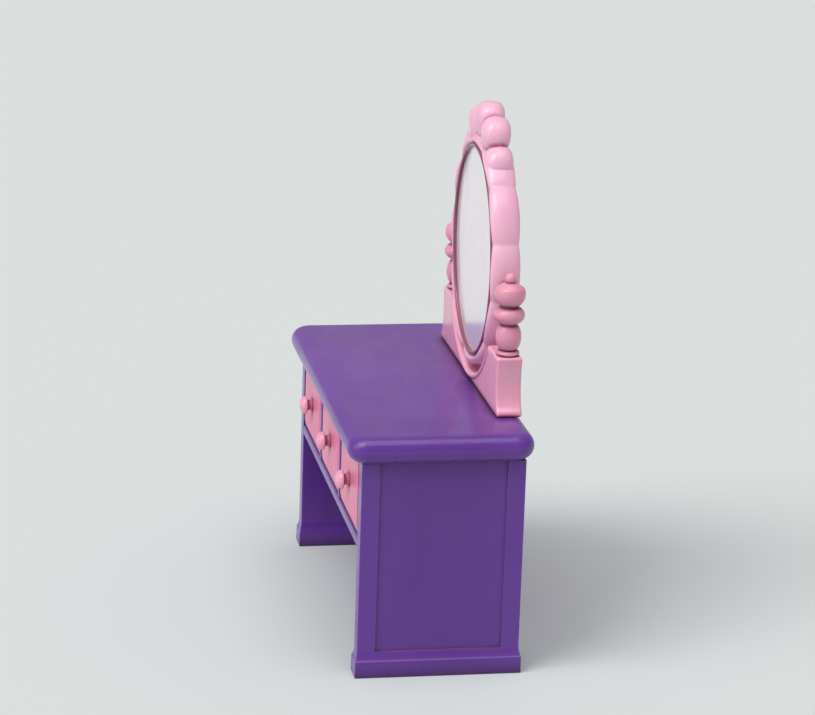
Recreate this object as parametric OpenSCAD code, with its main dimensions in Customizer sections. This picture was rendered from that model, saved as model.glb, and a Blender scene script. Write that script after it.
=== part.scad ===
// Miniature dressing table: a long table on two end panels, with a row of three
// small drawers, and an oval mirror that tilts between two turned posts.
// X runs along the table, -Y is the front with the drawers, +Z is up.
// The origin lies on the floor, under the middle of the table.

/* [Table] */
// Length of the table top, end to end
table_length = 80; // [76:1:92]
// Depth of the table top, front to back
table_depth = 34.4; // [32.4:0.4:40]
// Height of the upper face of the table top
table_height = 46; // [43:1:54]
// Thickness of the table top, and the diameter of its rounded edge
top_thickness = 5; // [4:0.5:6]
// Plan radius of the corners of the table top
corner_radius = 4; // [3.2:0.2:6]
// How far the table top stands out past the end panels
end_overhang = 2.2; // [1.8:0.1:3]
// How far the table top stands out in front of the end panels
front_overhang = 2.6; // [2:0.1:3]
// How far the table top stands out behind the end panels
back_overhang = 1.6; // [1.2:0.1:2]

/* [End panels] */
// Thickness of an end panel
panel_thickness = 3.2; // [2.8:0.1:4]
// Width of the raised stile along each upright edge of an end panel
stile_width = 3.4; // [2.4:0.2:5]
// How far the stiles stand out from the face of an end panel
stile_raise = 0.4; // [0.2:0.1:0.6]
// Height of the base moulding round the foot of an end panel
plinth_height = 4.8; // [3.6:0.2:6]
// How far the base moulding steps out from the two faces of an end panel
plinth_step = 0.8; // [0.4:0.1:1]
// How far the base moulding steps out past the front and back edges
plinth_toe = 0.4; // [0.2:0.1:0.8]
// Thickness of the back panel, the shelf and the partitions
board_thickness = 1.6; // [1.4:0.1:2]

/* [Drawers] */
// Clear height of the row of drawers, below the table top
bay_height = 15; // [12:0.5:16]
// Height of the rail under the drawers
rail_height = 2.2; // [2:0.2:5]
// Gap round a drawer front
front_gap = 0.3; // [0.2:0.05:0.5]
// Gap on each side of a drawer tray
tray_gap = 0.4; // [0.3:0.05:0.6]
// Thickness of a drawer front
front_thickness = 1.6; // [1.4:0.1:2]
// Thickness of the tray walls
tray_wall = 1; // [0.8:0.1:1.4]
// Diameter of a drawer knob
knob_diameter = 3.6; // [3:0.2:5]

/* [Mirror] */
// Half the outer width of the mirror frame
frame_half_width = 20.5; // [18:0.5:22]
// Half the outer height of the mirror frame
frame_half_height = 22.5; // [20:0.25:26]
// Width of the frame moulding
frame_band = 3; // [2.8:0.1:4]
// Thickness of the frame, front to back
frame_depth = 5.6; // [4.8:0.1:5.8]
// Distance from the middle of the table top back to the middle of the mirror
mirror_setback = 14.2; // [12:0.2:14.2]
// Air between the mirror frame and the stand below it
frame_air = 1.1; // [0.8:0.1:1.6]
// Thickness of the stand under the middle of the mirror
stand_web = 1.4; // [1:0.1:2]
// Drop from the middle of the mirror down to its pivots
pivot_drop = 2.5; // [1.5:0.5:3]
// Height of the shoulders of the mirror stand
shoulder_height = 11; // [9:0.5:12]
// Largest radius of a mirror post
post_radius = 2.9; // [2.6:0.1:3]
// Radius of a pivot pin
pin_radius = 0.8; // [0.7:0.05:1]

/* [Hidden] */
$fn = 64;

body_purple = [0.42, 0.27, 0.62];
drawer_pink = [0.90, 0.55, 0.70];
frame_pink = [0.95, 0.68, 0.80];
mirror_silver = [0.84, 0.85, 0.88];

// Small steps and play shared by several pieces
nudge = 1;            // cutters run this far past a face
tongue_depth = 1.5;   // reach of a tongue into its groove in the table top
tongue_width = 1.2;
tongue_play = 0.05;
groove_depth = 0.8;   // grooves on the inner faces of the end panels
chamfer = 1.1;        // sloped top of the base moulding

// Table
half_length = table_length / 2;
half_depth = table_depth / 2;
edge_radius = top_thickness / 2;
top_underside = table_height - top_thickness;
panel_outer = half_length - end_overhang;
panel_inner = panel_outer - panel_thickness;
panel_front = -half_depth + front_overhang;
panel_back = half_depth - back_overhang;
panel_depth = panel_back - panel_front;
panel_middle = (panel_front + panel_back) / 2;
tongue_length = panel_depth - 8;
back_outer = panel_back - 0.6;
back_inner = back_outer - board_thickness;
shelf_top = top_underside - bay_height;

// Drawers
bay_width = (2 * panel_inner - 2 * board_thickness) / 3;
bay_pitch = bay_width + board_thickness;
front_face = panel_front;
front_back = front_face + front_thickness;
tray_back = back_inner - 0.3;
tray_bottom = shelf_top + 0.15;
tray_top = top_underside - 2.4;
knob_height = shelf_top + 0.5 * bay_height;
knob_stem_radius = 0.7;
knob_reach = front_overhang;

// Mirror
mirror_centre = table_height + stand_web + frame_air + frame_half_height;
pivot_height = mirror_centre - pivot_drop;
sheet_thickness = 0.6;
sheet_recess = 0.8;
rebate_lip = 1.3;     // how much of the sheet the frame covers
back_thickness = 2;
stand_depth = 4.8;
stand_foot = frame_half_width + 7.5;
stand_shoulder = frame_half_width + 6.3;
shoulder_top = table_height + shoulder_height;
post_place = frame_half_width + 0.8 + post_radius;
head_half = 2.2;      // half the height of the post's head, which holds the pivot pin
finial_radius = 1.1;
finial_place = pivot_height + head_half + 0.7;
peg_radius = 1.3;
peg_depth = 3;
peg_relief = 0.2;     // air below the end of a peg
pin_play = 0.05;
pin_inner = frame_half_width - frame_band + rebate_lip + 0.05;
pin_outer = post_place + 1.3;
crest_top = mirror_centre + frame_half_height + 6.1;
outline_steps = 96;
curve_steps = 12;

// Half-round edged disc that turns one corner of the table top
module bun(radius) {
    rotate_extrude()
        union() {
            translate([0, -edge_radius])
                square([radius - edge_radius, top_thickness]);
            intersection() {
                translate([radius - edge_radius, 0])
                    circle(edge_radius);
                translate([0, -edge_radius])
                    square([radius, top_thickness]);
            }
        }
}

// Straight half-round edge along X
module long_edge(length) {
    rotate([0, 90, 0])
        cylinder(r = edge_radius, h = length, center = true);
}

// The table top before its slots and peg holes are cut
module top_slab() {
    straight_x = half_length - corner_radius;
    straight_y = half_depth - corner_radius;
    translate([0, 0, top_underside + edge_radius])
        union() {
            cube([2 * straight_x, 2 * (half_depth - edge_radius), top_thickness], center = true);
            cube([2 * (half_length - edge_radius), 2 * straight_y, top_thickness], center = true);
            for (x = [-1, 1])
                for (y = [-1, 1])
                    translate([x * straight_x, y * straight_y, 0])
                        bun(corner_radius);
            for (y = [-1, 1])
                translate([0, y * (half_depth - edge_radius), 0])
                    long_edge(2 * straight_x);
            for (x = [-1, 1])
                translate([x * (half_length - edge_radius), 0, 0])
                    rotate([0, 0, 90])
                        long_edge(2 * straight_y);
        }
}

module top_board() {
    color(body_purple)
        difference() {
            top_slab();
            for (x = [-1, 1])
                translate([x * (panel_inner + panel_thickness / 2), panel_middle, top_underside])
                    cube([tongue_width + 2 * tongue_play, tongue_length + 2 * tongue_play,
                          2 * tongue_depth], center = true);
            for (x = [-1, 1])
                translate([x * post_place, mirror_setback, table_height - peg_depth])
                    cylinder(r = peg_radius + tongue_play, h = peg_depth + nudge);
        }
}

// Outline of the base moulding seen along one axis, centred and standing on the floor
module plinth_outline(width, step) {
    slope_foot = plinth_height - chamfer;
    polygon([[-width / 2, 0], [width / 2, 0], [width / 2, slope_foot],
             [width / 2 - step, plinth_height], [-width / 2 + step, plinth_height],
             [-width / 2, slope_foot]]);
}

// Base moulding round the foot of an end panel, centred on its own footprint
module plinth_block() {
    width = panel_thickness + 2 * plinth_step;
    depth = panel_depth + 2 * plinth_toe;
    intersection() {
        translate([0, depth, 0])
            rotate([90, 0, 0])
                linear_extrude(2 * depth)
                    plinth_outline(width, plinth_step);
        translate([-width, 0, 0])
            rotate([90, 0, 90])
                linear_extrude(2 * width)
                    plinth_outline(depth, plinth_toe);
    }
}

// End panel at +X: a board with raised stiles, a base moulding and a tongue on top
module end_panel() {
    board = panel_thickness - stile_raise;
    difference() {
        union() {
            translate([panel_inner, panel_front, 0])
                cube([board, panel_depth, top_underside]);
            for (y = [panel_front, panel_back - stile_width])
                translate([panel_inner, y, 0])
                    cube([panel_thickness, stile_width, top_underside]);
            translate([panel_inner + panel_thickness / 2, panel_middle, 0])
                plinth_block();
            translate([panel_inner + panel_thickness / 2 - tongue_width / 2,
                       panel_middle - tongue_length / 2, 0])
                cube([tongue_width, tongue_length, top_underside + tongue_depth - tongue_play]);
        }
        translate([panel_inner - nudge, front_back, shelf_top - board_thickness])
            cube([nudge + groove_depth, back_inner - front_back, board_thickness]);
        translate([panel_inner - nudge, back_inner, plinth_height])
            cube([nudge + groove_depth, board_thickness, top_underside]);
    }
}

module left_end_panel() {
    color(body_purple)
        mirror([1, 0, 0])
            end_panel();
}

module right_end_panel() {
    color(body_purple)
        end_panel();
}

module back_panel() {
    color(body_purple)
        translate([-panel_inner - groove_depth, back_inner, plinth_height])
            cube([2 * (panel_inner + groove_depth), board_thickness, top_underside - plinth_height]);
}

module drawer_shelf() {
    color(body_purple)
        translate([-panel_inner - groove_depth, front_back, shelf_top - board_thickness])
            cube([2 * (panel_inner + groove_depth), back_inner - front_back, board_thickness]);
}

module front_rail() {
    color(body_purple)
        translate([-panel_inner, front_face, shelf_top - rail_height])
            cube([2 * panel_inner, front_thickness, rail_height]);
}

// Upright board between two drawers; side is -1 for the left one and 1 for the right one
module partition(side) {
    color(body_purple)
        translate([side * bay_pitch / 2 - board_thickness / 2, front_face, shelf_top])
            cube([board_thickness, back_inner - front_face, bay_height]);
}

// Drawers are counted -1, 0 and 1 from the left
module drawer_tray(place) {
    width = bay_width - 2 * tray_gap;
    color(drawer_pink)
        translate([place * bay_pitch, 0, 0])
            difference() {
                translate([-width / 2, front_back, tray_bottom])
                    cube([width, tray_back - front_back, tray_top - tray_bottom]);
                translate([-width / 2 + tray_wall, front_back + tray_wall, tray_bottom + tray_wall])
                    cube([width - 2 * tray_wall, tray_back - front_back - 2 * tray_wall, bay_height]);
                translate([0, front_back + tray_wall / 2, knob_height])
                    rotate([90, 0, 0])
                        cylinder(r = knob_stem_radius, h = tray_wall + nudge, center = true);
            }
}

module drawer_front(place) {
    width = bay_width - 2 * front_gap;
    color(drawer_pink)
        translate([place * bay_pitch, 0, 0])
            difference() {
                translate([-width / 2, front_face, shelf_top + front_gap])
                    cube([width, front_thickness, bay_height - 2 * front_gap]);
                translate([0, front_face + front_thickness / 2, knob_height])
                    rotate([90, 0, 0])
                        cylinder(r = knob_stem_radius, h = front_thickness + nudge, center = true);
            }
}

// Domed knob on a stem that passes through the front and the front wall of the tray
module drawer_knob(place) {
    head = knob_diameter / 2;
    neck = head * 0.55;
    waist = knob_reach * 0.4;
    color(drawer_pink)
        translate([place * bay_pitch, front_face, knob_height])
            rotate([90, 0, 0])
                union() {
                    translate([0, 0, -front_thickness - tray_wall])
                        cylinder(r = knob_stem_radius, h = front_thickness + tray_wall + waist);
                    cylinder(r = neck, h = waist);
                    rotate_extrude()
                        intersection() {
                            translate([0, waist])
                                square([head, knob_reach - waist]);
                            union() {
                                square([head - 0.5, knob_reach]);
                                translate([head - 0.55, waist + 0.55])
                                    circle(0.55);
                            }
                        }
                }
}

// Point of an upright ellipse round the middle of the mirror, as [x, z]
function oval_point(half_width, half_height, angle) =
    [half_width * cos(angle), mirror_centre + half_height * sin(angle)];

// Upright oval plate with its front face at front and the given thickness
module oval_plate(half_width, half_height, front, thickness) {
    translate([0, front + thickness, 0])
        rotate([90, 0, 0])
            linear_extrude(thickness)
                polygon([for (i = [0:outline_steps - 1])
                    oval_point(half_width, half_height, 360 * i / outline_steps)]);
}

// Point at t on the cubic curve from a to d, drawn by b and c
function curve_point(a, b, c, d, t) =
    pow(1 - t, 3) * a + 3 * pow(1 - t, 2) * t * b + 3 * (1 - t) * t * t * c + pow(t, 3) * d;

// Right-hand end of the stand: a spread foot that draws in and swells again below the post
function stand_end() = [for (i = [0:curve_steps])
    curve_point([stand_foot, table_height + 1],
        [stand_foot - 2.2, table_height + 2.5],
        [stand_foot - 2, shoulder_top - 3],
        [stand_shoulder, shoulder_top], i / curve_steps)];

// Upper edge of the stand, from the right shoulder down under the frame and up to the left one
function stand_cradle() =
    let (clear_width = frame_half_width + frame_air,
         clear_height = frame_half_height + frame_air,
         start = asin((shoulder_top - mirror_centre) / clear_height))
    [for (i = [0:2 * curve_steps])
        oval_point(clear_width, clear_height, start - (180 + 2 * start) * i / (2 * curve_steps))];

// The same points on the other side of the table, in reverse order
function mirrored(points) = [for (i = [len(points) - 1:-1:0]) [-points[i][0], points[i][1]]];

// Plate with raised shoulders whose upper edge runs round under the oval frame
module mirror_stand() {
    color(frame_pink)
        union() {
            difference() {
                translate([0, mirror_setback + stand_depth / 2, 0])
                    rotate([90, 0, 0])
                        linear_extrude(stand_depth)
                            polygon(concat(
                                [[-stand_foot, table_height], [stand_foot, table_height]],
                                stand_end(), stand_cradle(), mirrored(stand_end())));
                for (x = [-1, 1])
                    translate([x * post_place, mirror_setback, shoulder_top - peg_depth])
                        cylinder(r = peg_radius + tongue_play, h = peg_depth + nudge);
            }
            for (x = [-1, 1])
                translate([x * post_place, mirror_setback, table_height - peg_depth + peg_relief])
                    cylinder(r = peg_radius, h = peg_depth);
        }
}

// One rounded ring of a turned post, from z = low to z = high
module post_ring(low, high, radius) {
    round = min((high - low) / 2, radius - 0.6);
    translate([0, 0, low])
        rotate_extrude()
            intersection() {
                square([radius, high - low]);
                union() {
                    square([radius - round, high - low]);
                    translate([radius - round, (high - low) / 2])
                        circle(round);
                }
            }
}

// Turned post with a peg below and a blind hole for the pivot pin in its head
module mirror_post(side) {
    foot = shoulder_top;
    head_low = pivot_height - head_half;
    collar_low = head_low - 3.3;
    color(frame_pink)
        translate([side * post_place, mirror_setback, 0])
            difference() {
                union() {
                    translate([0, 0, foot - peg_depth + peg_relief])
                        cylinder(r = peg_radius, h = peg_depth);
                    translate([0, 0, foot])
                        cylinder(r = post_radius - 1.2, h = head_low + 1 - foot);
                    translate([0, 0, foot])
                        cylinder(r = post_radius - 0.8, h = 0.9);
                    post_ring(foot + 1, collar_low, post_radius - 0.5);
                    post_ring(collar_low, head_low, post_radius);
                    post_ring(head_low, pivot_height + head_half, post_radius);
                    translate([0, 0, pivot_height])
                        cylinder(r = finial_radius - 0.2, h = finial_place - pivot_height);
                    translate([0, 0, finial_place])
                        sphere(finial_radius);
                }
                translate([-side * (post_radius + nudge), 0, pivot_height])
                    rotate([0, side * 90, 0])
                        cylinder(r = pin_radius + pin_play, h = post_radius + nudge + 1.5);
            }
}

// Short pin, pressed into the frame and free to turn in its post
module pivot_pin(side) {
    color(frame_pink)
        translate([side * pin_inner, mirror_setback, pivot_height])
            rotate([0, side * 90, 0])
                cylinder(r = pin_radius, h = pin_outer - pin_inner);
}

// Crest of overlapping round lobes that rise from the top of the frame
module crest() {
    middle = crest_top - 3.6;
    translate([0, mirror_setback + frame_depth / 2, 0])
        rotate([90, 0, 0])
            linear_extrude(frame_depth)
                union() {
                    translate([0, middle])
                        circle(3.6);
                    translate([0, middle - 4])
                        circle(6.4);
                    for (x = [-1, 1]) {
                        translate([x * 5.4, middle - 1.2])
                            circle(3.2);
                        translate([x * 9.3, middle - 4])
                            circle(2.6);
                    }
                }
}

// Oval ring with a rebate at the back for the sheet and the backing
module mirror_frame() {
    front = mirror_setback - frame_depth / 2;
    open_width = frame_half_width - frame_band;
    open_height = frame_half_height - frame_band;
    color(frame_pink)
        difference() {
            union() {
                oval_plate(frame_half_width, frame_half_height, front, frame_depth);
                crest();
            }
            oval_plate(open_width, open_height, front - nudge, frame_depth + 2 * nudge);
            oval_plate(open_width + rebate_lip, open_height + rebate_lip,
                front + sheet_recess, frame_depth);
            for (side = [-1, 1])
                translate([side * pin_inner, mirror_setback, pivot_height])
                    rotate([0, side * 90, 0])
                        cylinder(r = pin_radius, h = 3);
        }
}

module mirror_sheet() {
    half_width = frame_half_width - frame_band + rebate_lip - 0.1;
    half_height = frame_half_height - frame_band + rebate_lip - 0.1;
    color(mirror_silver)
        oval_plate(half_width, half_height,
            mirror_setback - frame_depth / 2 + sheet_recess, sheet_thickness);
}

module mirror_back() {
    half_width = frame_half_width - frame_band + rebate_lip - 0.1;
    half_height = frame_half_height - frame_band + rebate_lip - 0.1;
    color(frame_pink)
        oval_plate(half_width, half_height,
            mirror_setback - frame_depth / 2 + sheet_recess + sheet_thickness, back_thickness);
}

top_board();
left_end_panel();
right_end_panel();
back_panel();
drawer_shelf();
front_rail();
partition(-1);  // left_partition
partition(1);  // right_partition
drawer_tray(-1);  // left_drawer_tray
drawer_tray(0);  // centre_drawer_tray
drawer_tray(1);  // right_drawer_tray
drawer_front(-1);  // left_drawer_front
drawer_front(0);  // centre_drawer_front
drawer_front(1);  // right_drawer_front
drawer_knob(-1);  // left_drawer_knob
drawer_knob(0);  // centre_drawer_knob
drawer_knob(1);  // right_drawer_knob
mirror_stand();
mirror_post(-1);  // left_mirror_post
mirror_post(1);  // right_mirror_post
pivot_pin(-1);  // left_pivot_pin
pivot_pin(1);  // right_pivot_pin
mirror_frame();
mirror_sheet();
mirror_back();
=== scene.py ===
import math

import bmesh
import bpy
from mathutils import Matrix, Vector
from mathutils.geometry import interpolate_bezier


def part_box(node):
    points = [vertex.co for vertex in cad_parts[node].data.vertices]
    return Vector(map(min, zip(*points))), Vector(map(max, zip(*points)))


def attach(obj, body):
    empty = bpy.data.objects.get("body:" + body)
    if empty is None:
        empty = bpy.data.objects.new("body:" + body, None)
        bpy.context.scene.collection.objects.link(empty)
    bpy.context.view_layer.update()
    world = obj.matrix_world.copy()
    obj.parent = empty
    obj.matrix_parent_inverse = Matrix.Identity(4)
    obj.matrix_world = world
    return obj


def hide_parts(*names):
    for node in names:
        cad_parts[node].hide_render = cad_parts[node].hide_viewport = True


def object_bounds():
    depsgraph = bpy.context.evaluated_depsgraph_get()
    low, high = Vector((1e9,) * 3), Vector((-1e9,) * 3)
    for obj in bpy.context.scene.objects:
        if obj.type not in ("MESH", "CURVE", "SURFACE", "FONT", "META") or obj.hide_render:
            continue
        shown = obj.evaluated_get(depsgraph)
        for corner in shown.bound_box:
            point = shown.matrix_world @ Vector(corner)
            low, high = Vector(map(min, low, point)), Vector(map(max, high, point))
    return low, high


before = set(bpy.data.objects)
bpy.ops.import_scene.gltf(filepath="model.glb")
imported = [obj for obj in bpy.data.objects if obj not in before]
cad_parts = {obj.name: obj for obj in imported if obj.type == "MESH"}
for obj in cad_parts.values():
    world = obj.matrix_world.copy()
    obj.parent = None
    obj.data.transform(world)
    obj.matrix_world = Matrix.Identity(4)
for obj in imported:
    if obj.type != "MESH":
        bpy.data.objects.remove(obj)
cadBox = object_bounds()
scene = bpy.context.scene
mm = 0.001
hair = 0.01 * mm        # slack for telling places apart
weld = 0.001 * mm       # points nearer than this are one point
print("frame loaded:", len(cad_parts), "nodes")


class Wire:
    # an output socket that can be used in sums and products
    def __init__(self, finish, socket):
        self.finish = finish
        self.socket = socket

    def maths(self, operation, first, second=0.0, clamp=False):
        return self.finish.node("ShaderNodeMath", {"operation": operation, "use_clamp": clamp},
                                {0: first, 1: second})

    def __add__(self, other):
        return self.maths("ADD", self, other)

    def __radd__(self, other):
        return self.maths("ADD", other, self)

    def __sub__(self, other):
        return self.maths("SUBTRACT", self, other)

    def __rsub__(self, other):
        return self.maths("SUBTRACT", other, self)

    def __mul__(self, other):
        return self.maths("MULTIPLY", self, other)

    def __rmul__(self, other):
        return self.maths("MULTIPLY", other, self)

    def __abs__(self):
        return self.maths("ABSOLUTE", self)

    def clamped(self):
        return self.maths("ADD", self, 0.0, True)


class Finish:
    # one material, built node by node
    def __init__(self, name):
        self.material = bpy.data.materials.new(name)
        self.material.use_nodes = True
        self.tree = self.material.node_tree
        self.shader = self.tree.nodes["Principled BSDF"]
        self.place = self.node("ShaderNodeTexCoord", out="Object")

    def node(self, kind, settings=None, inputs=None, out=0):
        made = self.tree.nodes.new(kind)
        for key, value in (settings or {}).items():
            setattr(made, key, value)
        self.feed(made, inputs or {})
        return Wire(self, made.outputs[out])

    def feed(self, made, inputs):
        for key, value in inputs.items():
            if isinstance(value, Wire):
                self.tree.links.new(value.socket, made.inputs[key])
            elif isinstance(value, tuple) and len(value) == 3 and made.inputs[key].type == "RGBA":
                made.inputs[key].default_value = (*value, 1)
            else:
                made.inputs[key].default_value = value

    def noise(self, scale, detail=2.0, rough=0.5, vector=None):
        return self.node("ShaderNodeTexNoise", {"noise_dimensions": "3D"},
                         {"Vector": vector or self.place, "Scale": scale, "Detail": detail,
                          "Roughness": rough})

    def stretched(self, scale, turn):
        return self.node("ShaderNodeMapping", {"vector_type": "POINT"},
                         {"Vector": self.place, "Rotation": turn, "Scale": scale})

    def ramp(self, value, low, high):
        return self.node("ShaderNodeMapRange", {"interpolation_type": "SMOOTHSTEP", "clamp": True},
                         {"Value": value, "From Min": low, "From Max": high, "To Min": 0.0, "To Max": 1.0})

    def blend(self, factor, first, second):
        return self.node("ShaderNodeMix", {"data_type": "RGBA"}, {0: factor, 6: first, 7: second}, 2)

    def scratches(self, turn, width):
        # fine lines where a drawn-out noise crosses its middle value
        drawn = self.noise(1.0, 1.0, 0.4, self.stretched((28.0, 1100.0, 1100.0), turn))
        patches = self.ramp(self.noise(90.0, 1.0), 0.52, 0.66)
        return (1 - (abs(drawn - 0.5) * (1 / width))).clamped() * patches

    def bump(self, height, strength, distance):
        return self.node("ShaderNodeBump", {}, {"Height": height, "Strength": strength,
                                                "Distance": distance}, "Normal")


# shared by all the moulded plastics; noise scales are in bumps per metre
mouldSet = {"flowStretch": (1.0, 1.0, 0.45), "flowTurn": (0.0, 0.3, 0.0), "mottleScale": 420.0,
            "grainScale": 2600.0, "wornScale": 260.0, "smearScale": 55.0,
            "smearStretch": (1.0, 2.6, 1.0), "smearTurn": (0.3, 0.0, 0.6), "dustAndReflectionScale": 38.0,
            "edgeReach": 0.6 * mm, "occlusionSamples": 8, "bumpDepth": 0.03 * mm,
            "coatRough": 0.10, "softReach": 1.0 * mm, "unevenRough": 0.10}


def plastic(name, look, shade=None):
    f = Finish(name)
    samples = mouldSet["occlusionSamples"]
    flowPlace = f.stretched(mouldSet["flowStretch"], mouldSet["flowTurn"])
    flow = f.ramp(f.noise(look["flowScale"], 3.0, 0.55, flowPlace), 0.35, 0.68)
    mottle = f.noise(mouldSet["mottleScale"], 3.0, 0.6)
    grain = f.noise(mouldSet["grainScale"], 2.0, 0.5)
    worn = f.noise(mouldSet["wornScale"], 3.0, 0.6)
    openness = f.node("ShaderNodeAmbientOcclusion", {"samples": samples},
                      {"Distance": look["paintedShadeReach"] * mm}, "AO")
    edge = f.node("ShaderNodeAmbientOcclusion", {"samples": samples, "inside": True, "only_local": True},
                  {"Distance": mouldSet["edgeReach"]}, "AO")
    rubbed = (1 - f.ramp(edge, 0.35, 0.85)) * f.ramp(worn, 0.3, 0.75)
    # painted shade: darker where other surfaces close in, in creases, under overhangs and between parts
    paintedShade = 1 - f.ramp(openness, 0.42, 0.95)
    smearPlace = f.stretched(mouldSet["smearStretch"], mouldSet["smearTurn"])
    smears = f.ramp(f.noise(mouldSet["smearScale"], 3.0, 0.6, smearPlace), 0.40, 0.66)
    facing = f.node("ShaderNodeSeparateXYZ", {}, {0: f.node("ShaderNodeNewGeometry", out="Normal")}, "Z")
    # dust on upward faces; on the purple, whose dust colour is tinted pink, it is also a painted reflection
    lying = f.noise(mouldSet["dustAndReflectionScale"], 2.0) + mottle * 0.25
    dustAndReflection = f.ramp(facing, 0.55, 0.98) * f.ramp(lying, 0.35, 0.95)

    colour = f.blend(flow, look["colour"], look["deep"])
    colour = f.blend(rubbed * look["rub"], colour, look["pale"])
    # lay the painted shade over the colour
    colour = f.blend(paintedShade * look["paintedShade"], colour, look["paintedShadeColour"])
    colour = f.blend(dustAndReflection * look["dustAndReflection"], colour, look["dustAndReflectionColour"])
    # painted shade laid over the colour where a mask for it is given
    if shade:
        colour = f.blend(shade(f) * look["shade"], colour, look["shadeColour"])
    rough = look["rough"] + mouldSet["unevenRough"] * (mottle - 0.5 + smears + dustAndReflection + paintedShade)
    height = 0.25 * grain + 0.6 * mottle
    f.feed(f.shader, {"Base Color": colour, "Roughness": rough.clamped(),
                      "Normal": f.bump(height, look["bump"], mouldSet["bumpDepth"]),
                      "IOR": look["ior"], "Coat Weight": look["coat"],
                      "Coat Roughness": mouldSet["coatRough"],
                      "Subsurface Weight": look["soft"], "Subsurface Scale": mouldSet["softReach"]})
    return f.material


# colours, gloss and wear of each plastic, with the painted shade in its creases, under overhangs and between
# parts; the shade's reach is in mm
# the purple's dust colour is pink: dust and a painted reflection on its upward faces
purpleLook = {"colour": (0.128, 0.039, 0.302), "deep": (0.112, 0.032, 0.270), "pale": (0.33, 0.20, 0.53),
              "paintedShadeColour": (0.050, 0.011, 0.075), "dustAndReflectionColour": (0.40, 0.20, 0.36), "flowScale": 45.0,
              "rough": 0.21, "bump": 0.05, "coat": 0.12, "ior": 1.42, "soft": 0.04, "rub": 0.4,
              "paintedShade": 0.85, "paintedShadeReach": 3.4, "dustAndReflection": 0.10}
drawerLook = {"colour": (0.75, 0.205, 0.365), "deep": (0.69, 0.175, 0.325), "pale": (0.86, 0.44, 0.59),
              "paintedShadeColour": (0.27, 0.05, 0.10), "dustAndReflectionColour": (0.72, 0.42, 0.53), "flowScale": 80.0,
              "rough": 0.30, "bump": 0.03, "coat": 0.0, "ior": 1.38, "soft": 0.10, "rub": 0.5,
              "paintedShade": 0.7, "paintedShadeReach": 1.4, "dustAndReflection": 0.12}
pinkLook = {"colour": (0.84, 0.41, 0.54), "deep": (0.79, 0.36, 0.49), "pale": (0.91, 0.62, 0.72),
            "paintedShadeColour": (0.34, 0.075, 0.14), "dustAndReflectionColour": (0.80, 0.54, 0.64), "flowScale": 75.0,
            "rough": 0.24, "bump": 0.06, "coat": 0.25, "ior": 1.46, "soft": 0.12, "rub": 0.5,
            "paintedShade": 0.9, "paintedShadeReach": 1.8, "dustAndReflection": 0.12}
# the foil's pale pink colour is partly a painted reflection of pink surroundings; the clouded patches are its
# own haze
foilLook = {"colour": (0.925, 0.88, 0.92), "clouded": (0.85, 0.81, 0.85), "rough": 0.19,
            "metal": 0.45, "rippleScale": 75.0, "rippleStretch": (1.0, 1.0, 0.5), "rippleDepth": 0.8 * mm,
            "ripple": 0.5, "cloudScale": 110.0, "scoreTurn": (0.3, 1.2, 0.2), "scoreWidth": 0.012}


def foil(name, look):
    f = Finish(name)
    ripple = f.noise(look["rippleScale"], 2.0, 0.5, f.stretched(look["rippleStretch"], (0.0, 0.0, 0.0)))
    cloud = f.ramp(f.noise(look["cloudScale"], 4.0, 0.6), 0.50, 0.80)
    scored = f.scratches(look["scoreTurn"], look["scoreWidth"])
    colour = f.blend(cloud * 0.6, look["colour"], look["clouded"])
    rough = look["rough"] + cloud * 0.08 + scored * 0.04
    f.feed(f.shader, {"Base Color": colour, "Metallic": look["metal"], "Roughness": rough.clamped(),
                      "Normal": f.bump(ripple, look["ripple"], look["rippleDepth"])})
    return f.material


purplePlastic = plastic("purplePlastic", purpleLook)
drawerPlastic = plastic("drawerPlastic", drawerLook)
pinkPlastic = plastic("pinkPlastic", pinkLook)
mirrorFoil = foil("mirrorFoil", foilLook)
print("finishes made")


def block(bm, low, high):
    made = bmesh.ops.create_cube(bm, size=1)["verts"]
    bmesh.ops.scale(bm, vec=high - low, verts=made)
    bmesh.ops.translate(bm, vec=(low + high) / 2, verts=made)


def onlyVerts(geometry):
    return [g for g in geometry if isinstance(g, bmesh.types.BMVert)]


def edgesAlong(bm, axis, test=None):
    found = []
    for edge in bm.edges:
        run = (edge.verts[1].co - edge.verts[0].co).normalized()
        if abs(run[axis]) > 0.99 and (test is None or test((edge.verts[0].co + edge.verts[1].co) / 2)):
            found.append(edge)
    return found


def roundOff(bm, edges, radius, steps):
    bmesh.ops.bevel(bm, geom=edges, offset=radius, offset_type="OFFSET", segments=steps, profile=0.5,
                    affect="EDGES", clamp_overlap=True, material=-1)


def facesFacing(bm, direction, test=None):
    direction = Vector(direction)
    return [face for face in bm.faces if face.normal.dot(direction) > 0.99
            and (test is None or test(face.calc_center_median()))]


def cutAcross(bm, axis, place):
    normal = Vector((0, 0, 0))
    normal[axis] = 1
    bmesh.ops.bisect_plane(bm, geom=bm.verts[:] + bm.edges[:] + bm.faces[:], dist=weld / 10,
                           plane_co=normal * place, plane_no=normal)


def pushFace(bm, face, move, shrink=(0, 0, 0)):
    # pulls one face out or in, and draws its outline in by shrink on each side
    face = bmesh.ops.extrude_discrete_faces(bm, faces=[face])["faces"][0]
    middle = face.calc_center_median()
    reach = [max(abs(v.co[i] - middle[i]) for v in face.verts) for i in range(3)]
    factor = [1 - shrink[i] / reach[i] if reach[i] > weld / 10 else 1 for i in range(3)]
    bmesh.ops.scale(bm, vec=factor, space=Matrix.Translation(-middle), verts=face.verts)
    bmesh.ops.translate(bm, vec=move, verts=face.verts)
    return face


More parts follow.
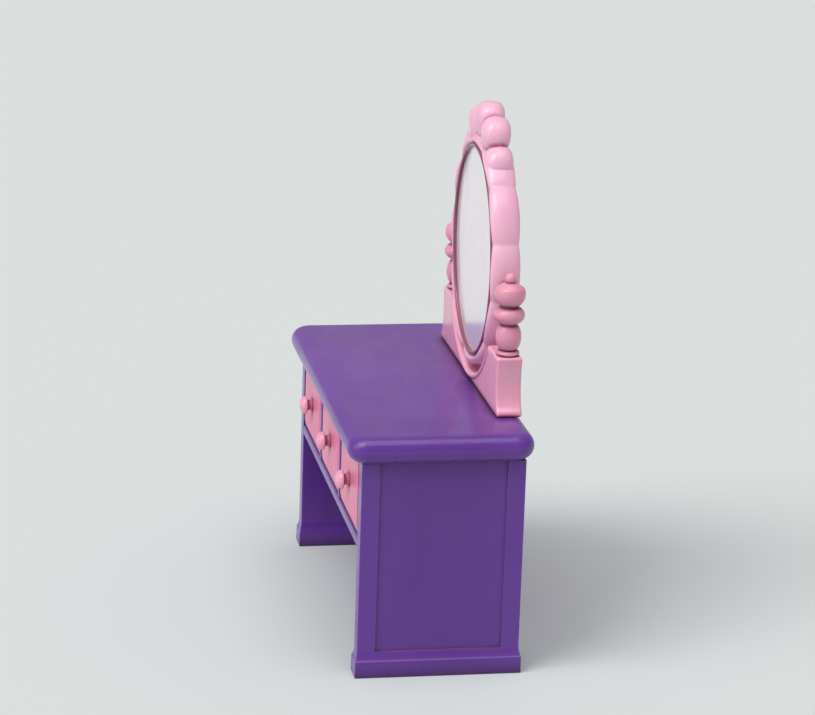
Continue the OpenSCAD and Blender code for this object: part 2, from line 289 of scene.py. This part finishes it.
def turned(profile, place, axis, steps):
    # profile runs as (radius, height) along the axis
    bm = bmesh.new()
    verts = [bm.verts.new((radius, 0, height)) for radius, height in profile]
    edges = [bm.edges.new(pair) for pair in zip(verts, verts[1:])]
    bmesh.ops.spin(bm, geom=verts + edges, cent=(0, 0, 0), axis=(0, 0, 1), dvec=(0, 0, 0),
                   angle=2 * math.pi, steps=steps, use_merge=True, use_duplicate=False)
    turn = Vector((0, 0, 1)).rotation_difference(Vector(axis)).to_matrix().to_4x4()
    bmesh.ops.transform(bm, matrix=Matrix.Translation(place) @ turn, verts=bm.verts[:])
    return bm


def swell(lowEnd, highEnd, root, crown, steps, power=0.6):
    # one rounded bead of a turned profile
    return [(root + (crown - root) * math.sin(math.pi * i / steps) ** power,
             lowEnd + (highEnd - lowEnd) * i / steps) for i in range(steps + 1)]


def settle(bm, name, body, material, node, edge=0.0, edgeSteps=3, angle=32):
    # turns a finished bmesh into the piece that stands for one node
    bmesh.ops.remove_doubles(bm, verts=bm.verts[:], dist=weld)
    bmesh.ops.recalc_face_normals(bm, faces=bm.faces[:])
    mesh = bpy.data.meshes.new(name)
    bm.to_mesh(mesh)
    bm.free()
    mesh.materials.append(material)
    mesh.shade_smooth()
    mesh.set_sharp_from_angle(angle=math.radians(angle))
    piece = bpy.data.objects.new(name, mesh)
    scene.collection.objects.link(piece)
    if edge:
        bevel = piece.modifiers.new("edges", "BEVEL")
        bevel.width = edge
        bevel.segments = edgeSteps
        bevel.limit_method = "ANGLE"
        bevel.angle_limit = math.radians(30)
        bevel.harden_normals = True
    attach(piece, body)
    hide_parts(node)


def spunShell(profile, closed, turns):
    # profile runs as (distance from the y axis, place along y)
    bm = bmesh.new()
    verts = [bm.verts.new((radius, along, 0)) for radius, along in profile]
    edges = [bm.edges.new(pair) for pair in zip(verts, verts[1:] + ([verts[0]] if closed else []))]
    bmesh.ops.spin(bm, geom=verts + edges, cent=(0, 0, 0), axis=(0, -1, 0), dvec=(0, 0, 0),
                   angle=2 * math.pi, steps=turns, use_merge=True, use_duplicate=False)
    bmesh.ops.remove_doubles(bm, verts=bm.verts[:], dist=weld / 10)
    bmesh.ops.recalc_face_normals(bm, faces=bm.faces[:])
    return bm


def shellObject(bm, name):
    mesh = bpy.data.meshes.new(name)
    bm.to_mesh(mesh)
    bm.free()
    made = bpy.data.objects.new(name, mesh)
    scene.collection.objects.link(made)
    return made


def joined(first, second, operation):
    # leaves first with second added to it or cut out of it
    change = first.modifiers.new("join", "BOOLEAN")
    change.operation = operation
    change.solver = "EXACT"
    change.object = second
    bpy.context.view_layer.update()
    result = bpy.data.meshes.new_from_object(first.evaluated_get(bpy.context.evaluated_depsgraph_get()))
    first.modifiers.clear()
    first.data = result
    bpy.data.objects.remove(second)


# table top
topSet = {"cornerRadius": 4.0 * mm, "cornerSteps": 12, "roll": 2.46 * mm, "rollSteps": 9}


def makeTop():
    low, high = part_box("top_board")
    bm = bmesh.new()
    block(bm, low, high)
    roundOff(bm, edgesAlong(bm, 2), topSet["cornerRadius"], topSet["cornerSteps"])
    rims = [e for e in bm.edges if abs(e.verts[0].co.z - e.verts[1].co.z) < weld]
    roundOff(bm, rims, topSet["roll"], topSet["rollSteps"])
    settle(bm, "tableTop", "table", purplePlastic, "top_board", angle=40)


makeTop()

# end panels
panelSet = {"stile": 3.4 * mm, "raise": 0.4 * mm, "edge": 0.32 * mm,
            # height in mm, then how far the outline has drawn in on x and y, as parts of the step
            "ogee": [(3.1, 0.0), (3.2, 0.16), (3.4, 0.36), (3.65, 0.55), (3.95, 0.72), (4.35, 0.88),
                     (4.8, 1.0)]}


def makeEndPanel(side, node, name):
    low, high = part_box(node)
    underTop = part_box("top_board")[0].z
    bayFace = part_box("front_rail")[1].x                 # inner face of the right-hand panel
    step = bayFace - min(abs(low.x), abs(high.x))       # how far the base moulding stands out in x
    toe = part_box("front_rail")[0].y - low.y             # and in y
    heights = panelSet["ogee"]
    foot = heights[-1][0] * mm
    bm = bmesh.new()
    block(bm, low, Vector((high.x, high.y, heights[0][0] * mm)))
    face = facesFacing(bm, (0, 0, 1))[0]
    for (below, was), (above, now) in zip(heights, heights[1:]):
        face = pushFace(bm, face, (0, 0, (above - below) * mm), ((now - was) * step, (now - was) * toe, 0))
    pushFace(bm, face, (0, 0, underTop - foot))
    fieldFront = low.y + toe + panelSet["stile"]
    fieldBack = high.y - toe - panelSet["stile"]
    cutAcross(bm, 1, fieldFront)
    cutAcross(bm, 1, fieldBack)
    for face in facesFacing(bm, (side, 0, 0), lambda c: c.z > foot and fieldFront < c.y < fieldBack):
        pushFace(bm, face, (-side * panelSet["raise"], 0, 0))
    settle(bm, name, "table", purplePlastic, node, panelSet["edge"])


makeEndPanel(-1, "left_end_panel", "leftEndPanel")
makeEndPanel(1, "right_end_panel", "rightEndPanel")

# boards between the end panels
boardSet = {"edge": 0.25 * mm, "fieldMargin": 4.0 * mm, "fieldDepth": 0.3 * mm, "fieldSlope": 0.3 * mm,
            "railNose": 0.55 * mm, "railEdge": 0.15 * mm, "partitionNose": 0.5 * mm,
            "partitionEdge": 0.12 * mm, "noseSteps": 4}


def makeBoards():
    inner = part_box("front_rail")[1].x       # the housed ends of the back and the shelf stop here
    low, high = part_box("back_panel")
    bm = bmesh.new()
    block(bm, Vector((-inner, low.y, low.z)), Vector((inner, high.y, high.z)))
    back = facesFacing(bm, (0, 1, 0))
    bmesh.ops.inset_region(bm, faces=back, thickness=boardSet["fieldMargin"], depth=0)
    slope = boardSet["fieldSlope"]
    pushFace(bm, back[0], (0, -boardSet["fieldDepth"], 0), (slope, 0, slope))
    settle(bm, "backPanel", "table", purplePlastic, "back_panel", boardSet["edge"])

    low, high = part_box("drawer_shelf")
    bm = bmesh.new()
    block(bm, Vector((-inner, low.y, low.z)), Vector((inner, high.y, high.z)))
    settle(bm, "drawerShelf", "table", purplePlastic, "drawer_shelf", boardSet["edge"])

    for name, node, axis, nose, edge in (
            ("frontRail", "front_rail", 0, "railNose", "railEdge"),
            ("leftPartition", "left_partition", 2, "partitionNose", "partitionEdge"),
            ("rightPartition", "right_partition", 2, "partitionNose", "partitionEdge")):
        low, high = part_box(node)
        bm = bmesh.new()
        block(bm, low, high)
        front = edgesAlong(bm, axis, lambda c: c.y < low.y + hair)
        roundOff(bm, front, boardSet[nose], boardSet["noseSteps"])
        settle(bm, name, "table", purplePlastic, node, boardSet[edge])


makeBoards()
print("table built")

# drawers
drawerSet = {"border": 1.1 * mm, "raise": 0.28 * mm, "slope": 0.35 * mm, "edge": 0.3 * mm,
             "wall": 1.0 * mm, "wallSlope": 0.15 * mm, "cornerRadius": 0.7 * mm, "cornerSteps": 4,
             "trayEdge": 0.18 * mm, "trayEdgeSteps": 2, "trayAngle": 28}
knobSet = {"steps": 40, "pegRadius": 0.68 * mm, "pegLength": 2.6 * mm, "pegChamfer": 0.1 * mm,
           "pegTop": 0.05 * mm, "domeHeight": 1.35 * mm, "domeFirst": 112, "domeStep": 8,
           "underside": 0.25,
           # collar and neck: radius as a part of the head's, height in mm
           "collar": [(0.72, -0.02), (0.74, 0.22), (0.62, 0.42), (0.55, 0.75), (0.66, 1.02)]}


def makeFront(place, low, high):
    bm = bmesh.new()
    block(bm, Vector((low.x, low.y + drawerSet["raise"], low.z)), high)
    face = facesFacing(bm, (0, -1, 0))
    bmesh.ops.inset_region(bm, faces=face, thickness=drawerSet["border"], depth=0)
    pushFace(bm, face[0], (0, -drawerSet["raise"], 0), (drawerSet["slope"], 0, drawerSet["slope"]))
    settle(bm, place + "DrawerFront", place + "_drawer", drawerPlastic,
           place + "_drawer_front", drawerSet["edge"])


def makeTray(place):
    low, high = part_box(place + "_drawer_tray")
    wall = drawerSet["wall"]
    bm = bmesh.new()
    block(bm, low, high)
    top = facesFacing(bm, (0, 0, 1))
    bmesh.ops.inset_region(bm, faces=top, thickness=wall, depth=0)
    slope = drawerSet["wallSlope"]
    pushFace(bm, top[0], (0, 0, low.z + wall - high.z), (slope, slope, 0))
    inside = [e for e in bm.edges
              if all(low.x + wall / 2 < v.co.x < high.x - wall / 2
                     and low.y + wall / 2 < v.co.y < high.y - wall / 2 for v in e.verts)
              and not all(v.co.z > high.z - hair for v in e.verts)]
    roundOff(bm, inside, drawerSet["cornerRadius"], drawerSet["cornerSteps"])
    settle(bm, place + "DrawerTray", place + "_drawer", drawerPlastic,
           place + "_drawer_tray", drawerSet["trayEdge"], drawerSet["trayEdgeSteps"], drawerSet["trayAngle"])


def makeKnob(place, frontFace):
    low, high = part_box(place + "_drawer_knob")
    head = (high.x - low.x) / 2
    reach = frontFace - low.y
    middle = Vector(((low.x + high.x) / 2, frontFace, (low.z + high.z) / 2))
    peg, depth, chamfer = knobSet["pegRadius"], knobSet["pegLength"], knobSet["pegChamfer"]
    dome = knobSet["domeHeight"]
    profile = [(0, -depth), (peg - chamfer * 0.6, -depth), (peg, chamfer - depth),
               (peg, -knobSet["pegTop"])]
    profile += [(head * part, height * mm) for part, height in knobSet["collar"]]
    for i in range(knobSet["domeFirst"] // knobSet["domeStep"] + 1):
        a = math.radians(knobSet["domeFirst"] - knobSet["domeStep"] * i)
        rise = math.cos(a) * (1 if a < math.pi / 2 else knobSet["underside"])
        profile.append((head * math.sin(a), reach - dome + dome * rise))
    bm = turned(profile, middle, (0, -1, 0), knobSet["steps"])
    settle(bm, place + "DrawerKnob", place + "_drawer", pinkPlastic,
           place + "_drawer_knob")


def makeDrawer(place):
    low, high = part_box(place + "_drawer_front")
    makeFront(place, low, high)
    makeTray(place)
    makeKnob(place, low.y)


for place in ("left", "centre", "right"):
    makeDrawer(place)
print("drawers built")


def mirrorCentre():
    low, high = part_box("mirror_sheet")
    return (low.z + high.z) / 2


# stand that carries the mirror
standSet = {"edge": 0.5 * mm, "edgeSteps": 4, "air": 1.1 * mm, "arcSteps": 48, "endSteps": 14,
            # the hollow end, from the foot up: distance in from the foot, height from the nearer end
            "endFoot": (0.0, 1.0 * mm), "endLow": (2.2 * mm, 2.5 * mm), "endHigh": (2.0 * mm, -3.0 * mm),
            "endTop": (1.2 * mm, 0.0), "lipRadius": 0.5 * mm, "lipRing": 14, "lipInset": 0.75 * mm,
            "lipDepth": 0.22 * mm, "lipSteps": 90, "lipEnd": 0.04}
spinRadius = 10 * mm        # rings are spun at this radius before they are laid along an oval


def ovalPoint(centre, halfWidth, halfHeight, angle):
    return (halfWidth * math.cos(angle), centre + halfHeight * math.sin(angle))


def makeStand():
    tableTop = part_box("top_board")[1].z
    low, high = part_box("mirror_stand")
    frameLow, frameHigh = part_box("mirror_frame")
    centre = mirrorCentre()
    clearWidth = frameHigh.x + standSet["air"]
    clearHeight = centre - frameLow.z + standSet["air"]
    foot = high.x
    bends = [Vector((foot - inwards, level + rise)) for level, (inwards, rise) in (
        (tableTop, standSet["endFoot"]), (tableTop, standSet["endLow"]),
        (high.z, standSet["endHigh"]), (high.z, standSet["endTop"]))]
    end = interpolate_bezier(*bends, standSet["endSteps"])
    start = math.asin((high.z - centre) / clearHeight)
    sweep = math.pi + 2 * start
    arc = [ovalPoint(centre, clearWidth, clearHeight, start - sweep * i / standSet["arcSteps"])
           for i in range(standSet["arcSteps"] + 1)]
    outline = [(-foot, tableTop), (foot, tableTop)] + [tuple(p) for p in end] + arc
    outline += [(-p[0], p[1]) for p in reversed(end)]
    bm = bmesh.new()
    plate = bm.faces.new([bm.verts.new((x, low.y, z)) for x, z in outline])
    grown = bmesh.ops.extrude_face_region(bm, geom=[plate])["geom"]
    bmesh.ops.translate(bm, vec=(0, high.y - low.y, 0), verts=onlyVerts(grown))
    bmesh.ops.remove_doubles(bm, verts=bm.verts[:], dist=weld)
    bmesh.ops.recalc_face_normals(bm, faces=bm.faces[:])
    roundOff(bm, [e for e in bm.edges if e.calc_face_angle(0) > math.radians(30)],
             standSet["edge"], standSet["edgeSteps"])
    body = shellObject(bm, "plate")

    bm = bmesh.new()        # raised lip that follows the cradle on the front
    ring = bmesh.ops.create_circle(bm, cap_ends=True, radius=standSet["lipRadius"],
                                   segments=standSet["lipRing"])["verts"]
    bmesh.ops.translate(bm, vec=(spinRadius, 0, 0), verts=ring)
    bmesh.ops.spin(bm, geom=bm.faces[:], cent=(0, 0, 0), axis=(0, 1, 0), dvec=(0, 0, 0),
                   angle=sweep - 2 * standSet["lipEnd"], steps=standSet["lipSteps"],
                   use_merge=False, use_duplicate=False)
    for v in bm.verts:
        angle = start - standSet["lipEnd"] + math.atan2(v.co.z, v.co.x)
        out = math.hypot(v.co.x, v.co.z) - spinRadius + standSet["lipInset"]
        across = Vector((math.cos(angle) / clearWidth, math.sin(angle) / clearHeight)).normalized()
        v.co.x = clearWidth * math.cos(angle) + across.x * out
        v.co.z = centre + clearHeight * math.sin(angle) + across.y * out
        v.co.y += low.y + standSet["lipDepth"]
    bmesh.ops.recalc_face_normals(bm, faces=bm.faces[:])
    joined(body, shellObject(bm, "lip"), "UNION")
    bm = bmesh.new()
    bm.from_mesh(body.data)
    bpy.data.objects.remove(body)
    settle(bm, "mirrorStand", "table", pinkPlastic, "mirror_stand", angle=40)


makeStand()

# turned posts
# posts: a darker copy of the pink, painted shade, with stronger painted shade in their grooves
shadedPostLook = {**pinkLook, "colour": (0.72, 0.30, 0.42), "deep": (0.66, 0.26, 0.375), "paintedShade": 1.0,
            "paintedShadeReach": 2.2, "paintedShadeColour": (0.22, 0.05, 0.085)}
shadedPostPlastic = plastic("shadedPostPlastic", shadedPostLook)
# radii given as insets are taken off the head's radius
postSet = {"steps": 64, "groove": 1.4 * mm, "gap": 0.1 * mm, "headHalf": 2.2 * mm, "collar": 3.3 * mm,
           "seatDepth": 0.2 * mm, "seatInset": 0.85 * mm, "ringHeight": 0.95 * mm,
           "ringInset": (1.1 * mm, 0.7 * mm), "vaseInset": 0.5 * mm,
           # neck under the ball: radius, height above the head
           "neck": [(1.3 * mm, -0.12 * mm), (0.95 * mm, 0.0), (0.75 * mm, 0.12 * mm)],
           "ballRadius": 1.1 * mm, "ballRise": 0.7 * mm, "ballFirst": -38, "ballStep": 8, "ballPoints": 17}


def makePost(node, name):
    low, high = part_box(node)
    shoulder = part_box("mirror_stand")[1].z
    pinLow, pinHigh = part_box("left_pivot_pin")
    pivot = (pinLow.z + pinHigh.z) / 2
    full = (high.x - low.x) / 2
    groove, gap = postSet["groove"], postSet["gap"]
    headLow, headHigh = pivot - postSet["headHalf"], pivot + postSet["headHalf"]
    collarLow = headLow - postSet["collar"]
    ringTop = shoulder + postSet["ringHeight"]
    ringRoot, ringCrown = [full - inset for inset in postSet["ringInset"]]
    seat = shoulder - postSet["seatDepth"]
    profile = [(0, seat), (full - postSet["seatInset"], seat)]
    profile += swell(shoulder, ringTop, ringRoot, ringCrown, 6)
    profile += swell(ringTop + gap, collarLow - gap, groove, full - postSet["vaseInset"], 16, 0.55)
    profile += swell(collarLow + gap, headLow - gap, groove, full, 14, 0.5)
    profile += swell(headLow + gap, headHigh, groove, full, 18, 0.5)[:-4]
    profile += [(radius, headHigh + rise) for radius, rise in postSet["neck"]]
    ball, radius = headHigh + postSet["ballRise"], postSet["ballRadius"]
    for i in range(postSet["ballPoints"]):
        a = math.radians(postSet["ballFirst"] + postSet["ballStep"] * i)
        profile.append((radius * math.cos(a), ball + radius * math.sin(a)))
    profile[-1] = (0, high.z)
    middle = Vector(((low.x + high.x) / 2, (low.y + high.y) / 2, 0))
    bm = turned(profile, middle, (0, 0, 1), postSet["steps"])
    settle(bm, name, "table", shadedPostPlastic, node, angle=50)


makePost("left_mirror_post", "leftMirrorPost")
makePost("right_mirror_post", "rightMirrorPost")
print("stand and posts built")

# mirror frame with its crest
# frame: a paler copy of the pink, a painted highlight, with painted shade on the inner bead of its front
litFrameShadedRimLook = {**pinkLook, "colour": (0.86, 0.48, 0.63), "deep": (0.81, 0.42, 0.58), "paintedShade": 0.8,
             "paintedShadeReach": 1.3, "shade": 0.95, "shadeColour": (0.235, 0.06, 0.10)}
frameSet = {"turns": 288, "lobes": 12, "lobeDepth": 0.34, "lobePower": 0.7, "band": 3.0 * mm,
            "thick": 5.6 * mm, "plainBead": 0.85 * mm, "lobeRunIn": 0.7 * mm,
            # where the painted shade on the inner bead fades out: half-axes squared, depth from the front
            "shadeRim": (1.08, 1.13), "shadeDepth": (0.9 * mm, 1.3 * mm),
            # where the dips reach back and forwards: how far, and how deep from the front or the back
            "frontDip": (1.6 * mm, 2.8 * mm), "backDip": (0.9 * mm, 2.4 * mm),
            # across the moulding, in mm: distance out from the opening, distance back from the front
            "profile": [(0.0, 0.8), (0.0, 0.52), (0.05, 0.34), (0.18, 0.20), (0.36, 0.15), (0.54, 0.22),
                        (0.68, 0.40), (0.78, 0.66), (0.92, 0.56), (1.10, 0.30), (1.36, 0.10), (1.66, 0.0),
                        (2.00, 0.06), (2.34, 0.30), (2.64, 0.72), (2.87, 1.34), (3.0, 2.10), (3.0, 2.9),
                        (2.93, 3.7), (2.77, 4.5), (2.55, 5.1), (2.28, 5.45), (1.95, 5.6), (1.6, 5.6),
                        (1.3, 5.45), (1.3, 0.8)]}
crestSet = {"turns": 280, "petals": 9, "reachSide": 12.2 * mm, "seatDrop": 5.4 * mm,
            "depth": 5.4 * mm, "petalDepth": 0.19, "petalPower": 0.6, "petalRunIn": 0.3,
            "frontDip": 2.4, "backDip": 1.4, "trimOut": 1.9 * mm, "trimSegments": 160,
            # from the middle of the front, over the rim, to the middle of the back: radius, height
            "profile": [(0.0, 0.50), (0.16, 0.52), (0.30, 0.60), (0.45, 0.76), (0.60, 0.93), (0.72, 1.0),
                        (0.83, 0.98), (0.91, 0.87), (0.965, 0.66), (0.99, 0.42), (1.0, 0.15), (1.0, -0.2),
                        (0.99, -0.5), (0.96, -0.78), (0.90, -0.95), (0.82, -1.0), (0.4, -1.0), (0.0, -1.0)]}


def opening():
    # half width, half height and middle height of the oval that the moulding goes round
    low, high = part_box("mirror_frame")
    centre = mirrorCentre()
    return high.x - frameSet["band"], centre - low.z - frameSet["band"], centre


def openingShade(f):
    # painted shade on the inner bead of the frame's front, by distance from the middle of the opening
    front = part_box("mirror_frame")[0].y
    halfWidth, halfHeight, centre = opening()
    x, y, z = [f.node("ShaderNodeSeparateXYZ", {}, {0: f.place}, axis) for axis in "XYZ"]
    across = x * (1 / halfWidth)
    up = (z - centre) * (1 / halfHeight)
    onFront = 1 - f.ramp(y, *[front + depth for depth in frameSet["shadeDepth"]])
    return (1 - f.ramp(across * across + up * up, *frameSet["shadeRim"])) * onFront


litFrameShadedRimPlastic = plastic("litFrameShadedRimPlastic", litFrameShadedRimLook, openingShade)


def ringShell(front):
    halfWidth, halfHeight, centre = opening()
    back = front + frameSet["thick"]
    frontReach, frontDeep = frameSet["frontDip"]
    backReach, backDeep = frameSet["backDip"]
    bm = spunShell([(spinRadius + out * mm, front + inwards * mm) for out, inwards in frameSet["profile"]],
                   True, frameSet["turns"])
    for v in bm.verts:
        angle = math.atan2(v.co.z, v.co.x)
        out = math.hypot(v.co.x, v.co.z) - spinRadius
        outer = max(0.0, out - frameSet["plainBead"])
        rise = abs(math.cos(frameSet["lobes"] * angle / 2)) ** frameSet["lobePower"]
        dip = (1 - rise) * frameSet["lobeDepth"]
        out -= outer * dip
        if outer > 0:
            toFront = 1 - min(1.0, (v.co.y - front) / frontDeep)
            toBack = 1 - min(1.0, (back - v.co.y) / backDeep)
            share = dip * min(1.0, outer / frameSet["lobeRunIn"])
            v.co.y += share * (frontReach * toFront - backReach * toBack)
        across = Vector((math.cos(angle) / halfWidth, math.sin(angle) / halfHeight)).normalized()
        v.co.x = halfWidth * math.cos(angle) + across.x * out
        v.co.z = centre + halfHeight * math.sin(angle) + across.y * out
    return bm


def crestShell(middle, top, ringTop):
    seat = ringTop - crestSet["seatDrop"]
    reachUp = top - seat
    half = crestSet["depth"] / 2
    bm = spunShell([(radius, -rise * half) for radius, rise in crestSet["profile"]], False, crestSet["turns"])
    for v in bm.verts:
        angle = math.atan2(v.co.z, v.co.x)
        radius = math.hypot(v.co.x, v.co.z)
        rise = abs(math.cos((angle - math.pi / 2) * crestSet["petals"] / 2)) ** crestSet["petalPower"]
        dip = (1 - rise) * crestSet["petalDepth"] * min(1.0, radius / crestSet["petalRunIn"])
        v.co.y += dip * half * (crestSet["frontDip"] if v.co.y < 0 else -crestSet["backDip"])
        v.co.x = math.cos(angle) * radius * crestSet["reachSide"] * (1 - dip)
        v.co.z = seat + math.sin(angle) * radius * reachUp * (1 - dip)
        v.co.y += middle
    return bm


def makeFrame():
    low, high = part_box("mirror_frame")
    middle = (low.y + high.y) / 2
    halfWidth, halfHeight, centre = opening()
    ring = shellObject(ringShell(low.y), "ring")
    crest = shellObject(crestShell(middle, high.z, centre + halfHeight + frameSet["band"]), "crest")

    bm = bmesh.new()        # oval plug that trims the crest to the middle of the moulding
    trim = crestSet["trimOut"]
    bmesh.ops.create_cone(bm, cap_ends=True, segments=crestSet["trimSegments"], radius1=1, radius2=1,
                          depth=20 * mm)
    bmesh.ops.rotate(bm, cent=(0, 0, 0), matrix=Matrix.Rotation(math.pi / 2, 3, "X"), verts=bm.verts[:])
    bmesh.ops.scale(bm, vec=(halfWidth + trim, 1, halfHeight + trim), verts=bm.verts[:])
    bmesh.ops.translate(bm, vec=(0, middle, centre), verts=bm.verts[:])
    joined(crest, shellObject(bm, "plug"), "DIFFERENCE")
    joined(ring, crest, "UNION")
    bm = bmesh.new()
    bm.from_mesh(ring.data)
    bpy.data.objects.remove(ring)
    settle(bm, "mirrorFrame", "mirror", litFrameShadedRimPlastic, "mirror_frame", angle=50)


makeFrame()

# silvered sheet and the plate behind it
ovalSet = {"segments": 128, "edgeSteps": 2, "sheetEdge": 0.12 * mm, "backEdge": 0.25 * mm,
           "fieldMargin": 2.2 * mm, "fieldDepth": 0.5 * mm, "fieldSlope": 0.3 * mm}


def makeOval(name, node, material, edge, field=False):
    low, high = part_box(node)
    bm = bmesh.new()
    disc = bmesh.ops.create_circle(bm, cap_ends=True, radius=1, segments=ovalSet["segments"])["verts"]
    bmesh.ops.rotate(bm, cent=(0, 0, 0), matrix=Matrix.Rotation(math.pi / 2, 3, "X"), verts=disc)
    bmesh.ops.scale(bm, vec=(high.x, 1, (high.z - low.z) / 2), verts=disc)
    bmesh.ops.translate(bm, vec=(0, low.y, (low.z + high.z) / 2), verts=disc)
    grown = bmesh.ops.extrude_face_region(bm, geom=bm.faces[:])["geom"]
    bmesh.ops.translate(bm, vec=(0, high.y - low.y, 0), verts=onlyVerts(grown))
    bmesh.ops.recalc_face_normals(bm, faces=bm.faces[:])
    if field:
        back = facesFacing(bm, (0, 1, 0))
        slope = ovalSet["fieldSlope"]
        bmesh.ops.inset_region(bm, faces=back, thickness=ovalSet["fieldMargin"], depth=0)
        pushFace(bm, back[0], (0, -ovalSet["fieldDepth"], 0), (slope, 0, slope))
    settle(bm, name, "mirror", material, node, edge, ovalSet["edgeSteps"])


makeOval("mirrorSheet", "mirror_sheet", mirrorFoil, ovalSet["sheetEdge"])
makeOval("mirrorBack", "mirror_back", pinkPlastic, ovalSet["backEdge"], True)

# pins that the mirror tilts on
pinSet = {"steps": 32, "nose": 0.3 * mm}


def makePin(node, name, side):
    low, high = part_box(node)
    radius = (high.z - low.z) / 2
    length = high.x - low.x
    nose = pinSet["nose"]
    start = Vector((low.x if side > 0 else high.x, (low.y + high.y) / 2, (low.z + high.z) / 2))
    profile = [(0, 0), (radius, 0), (radius, length - nose), (radius - nose / 3, length - nose * 0.4),
               (radius - nose, length), (0, length)]
    bm = turned(profile, start, (side, 0, 0), pinSet["steps"])
    settle(bm, name, "mirror", pinkPlastic, node)


makePin("left_pivot_pin", "leftPivotPin", -1)
makePin("right_pivot_pin", "rightPivotPin", 1)
print("mirror built")

# floor, light and camera
stageSet = {"floorSize": 9.0, "floorColour": (0.60, 0.67, 0.65), "fibreColour": (0.575, 0.645, 0.63),
            "fibreScale": 900.0, "fibreShare": 0.2, "floorRough": 0.8, "fibreRough": 0.1,
            "worldColour": (0.96, 0.86, 0.93), "worldStrength": 0.42}
lightSet = [
    # name, direction to the light (azimuth, elevation), strength, spread in degrees, colour
    ("keyLight", (24, 50), 1.55, 34, (1.0, 0.965, 0.955)),
    ("topLight", (84, 76), 1.1, 48, (1.0, 0.975, 0.965)),
    ("frontLight", (8, 22), 0.5, 30, (1.0, 0.95, 0.96)),
]
cameraSet = {"azimuth": 79.5, "elevation": 15.9, "distance": 0.580, "lens": 134.0, "roll": 1.9}


def towards(azimuth, elevation):
    a, e = math.radians(azimuth), math.radians(elevation)
    return Vector((math.sin(a) * math.cos(e), -math.cos(a) * math.cos(e), math.sin(e)))


def makeStage():
    f = Finish("floorPaper")
    fibre = f.noise(stageSet["fibreScale"], 3.0, 0.6)
    colour = f.blend(fibre * stageSet["fibreShare"], stageSet["floorColour"], stageSet["fibreColour"])
    f.feed(f.shader, {"Base Color": colour,
                      "Roughness": fibre * stageSet["fibreRough"] + stageSet["floorRough"]})
    bm = bmesh.new()
    bmesh.ops.create_grid(bm, x_segments=1, y_segments=1, size=stageSet["floorSize"])
    mesh = bpy.data.meshes.new("floor")
    bm.to_mesh(mesh)
    bm.free()
    mesh.materials.append(f.material)
    floor = bpy.data.objects.new("floor", mesh)
    scene.collection.objects.link(floor)

    world = bpy.data.worlds.new("studio")
    world.use_nodes = True
    sky = world.node_tree.nodes["Background"]
    sky.inputs["Color"].default_value = (*stageSet["worldColour"], 1)
    sky.inputs["Strength"].default_value = stageSet["worldStrength"]
    scene.world = world
    scene.view_settings.view_transform = "Standard"

    middle = (cadBox[0] + cadBox[1]) / 2
    for name, (azimuth, elevation), strength, spread, colour in lightSet:
        lamp = bpy.data.lights.new(name, "SUN")
        lamp.angle = math.radians(spread)
        lamp.energy = strength
        lamp.color = colour
        light = bpy.data.objects.new(name, lamp)
        aim = towards(azimuth, elevation)
        light.location = middle + aim
        light.rotation_euler = aim.to_track_quat("Z", "Y").to_euler()
        scene.collection.objects.link(light)

    lens = bpy.data.cameras.new("camera")
    lens.lens = cameraSet["lens"]
    lens.clip_start = 0.01
    camera = bpy.data.objects.new("camera", lens)
    aim = towards(cameraSet["azimuth"], cameraSet["elevation"])
    camera.location = middle + aim * cameraSet["distance"]
    turn = aim.to_track_quat("Z", "Y").to_matrix() @ Matrix.Rotation(math.radians(cameraSet["roll"]), 3, "Z")
    camera.rotation_euler = turn.to_euler()
    scene.collection.objects.link(camera)
    scene.camera = camera


makeStage()
print("stage set")
